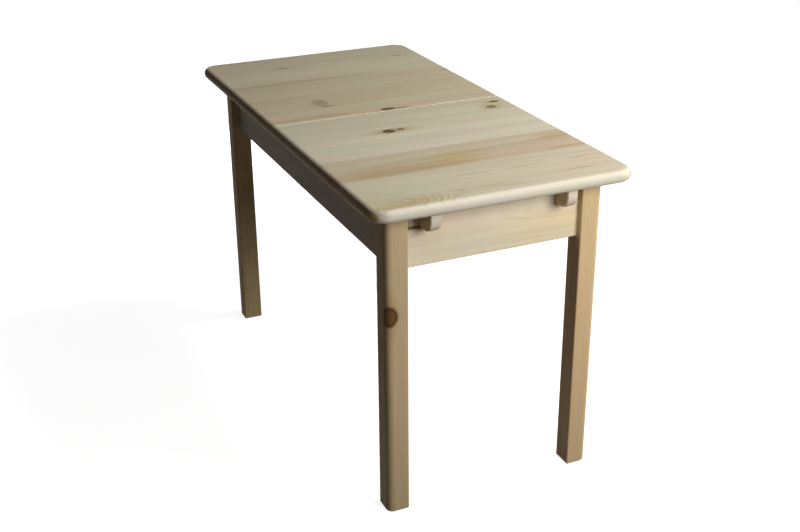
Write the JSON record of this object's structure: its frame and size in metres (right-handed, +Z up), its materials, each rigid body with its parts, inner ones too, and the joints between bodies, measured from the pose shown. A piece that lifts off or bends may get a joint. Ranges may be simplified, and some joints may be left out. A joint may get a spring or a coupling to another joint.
{
  "type": "extending table",
  "caption": "Pine dining table on square legs; its top is split across the middle and the halves draw apart on wooden runners for a loose leaf.",
  "frame": {"origin": "on the floor, under the middle of the closed top", "axes": "+X along the table towards the near end, whose runners are the inner pair; +Y across it; +Z up"},
  "size_m": [1.2, 0.6, 0.735],
  "materials": {
    "pine_top": "bare sanded pine, edge-glued staves with knots",
    "pine_frame": "bare sanded pine",
    "pine_runner": "bare planed pine",
    "beech_dowel": "plain turned beech",
    "zinc_steel": "zinc plated"
  },
  "bodies": {
    "frame": {"centre_rail": "pine_runner", "corner_block_far_left": "pine_runner", "corner_block_far_right": "pine_runner", "corner_block_near_left": "pine_runner", "corner_block_near_right": "pine_runner", "end_apron_far": "pine_frame", "end_apron_near": "pine_frame", "guide_rail_far_left": "pine_runner", "guide_rail_far_right": "pine_runner", "guide_rail_near_left": "pine_runner", "guide_rail_near_right": "pine_runner", "leg_bolt_nuts": "zinc_steel", "leg_bolt_washers": "zinc_steel", "leg_bolts": "zinc_steel", "leg_far_left": "pine_frame", "leg_far_right": "pine_frame", "leg_near_left": "pine_frame", "leg_near_right": "pine_frame", "side_apron_left": "pine_frame", "side_apron_right": "pine_frame"},
    "top_near": {"locating_dowels": "beech_dowel", "near_runner_left": "pine_runner", "near_runner_right": "pine_runner", "near_stave_1": "pine_top", "near_stave_2": "pine_top", "near_stave_3": "pine_top", "near_stave_4": "pine_top", "near_stave_5": "pine_top", "near_stave_6": "pine_top", "near_stop_block_left": "pine_runner", "near_stop_block_right": "pine_runner"},
    "top_far": {"far_runner_left": "pine_runner", "far_runner_right": "pine_runner", "far_stave_1": "pine_top", "far_stave_2": "pine_top", "far_stave_3": "pine_top", "far_stave_4": "pine_top", "far_stave_5": "pine_top", "far_stop_block_left": "pine_runner", "far_stop_block_right": "pine_runner"}
  },
  "joints": [
    {"name": "near_half_slide", "type": "slide", "parent": "frame", "child": "top_near", "axis": [1, 0, 0], "range_m": [0, 0.2]},
    {"name": "far_half_slide", "type": "slide", "parent": "frame", "child": "top_far", "axis": [-1, 0, 0], "range_m": [0, 0.2]}
  ]
}
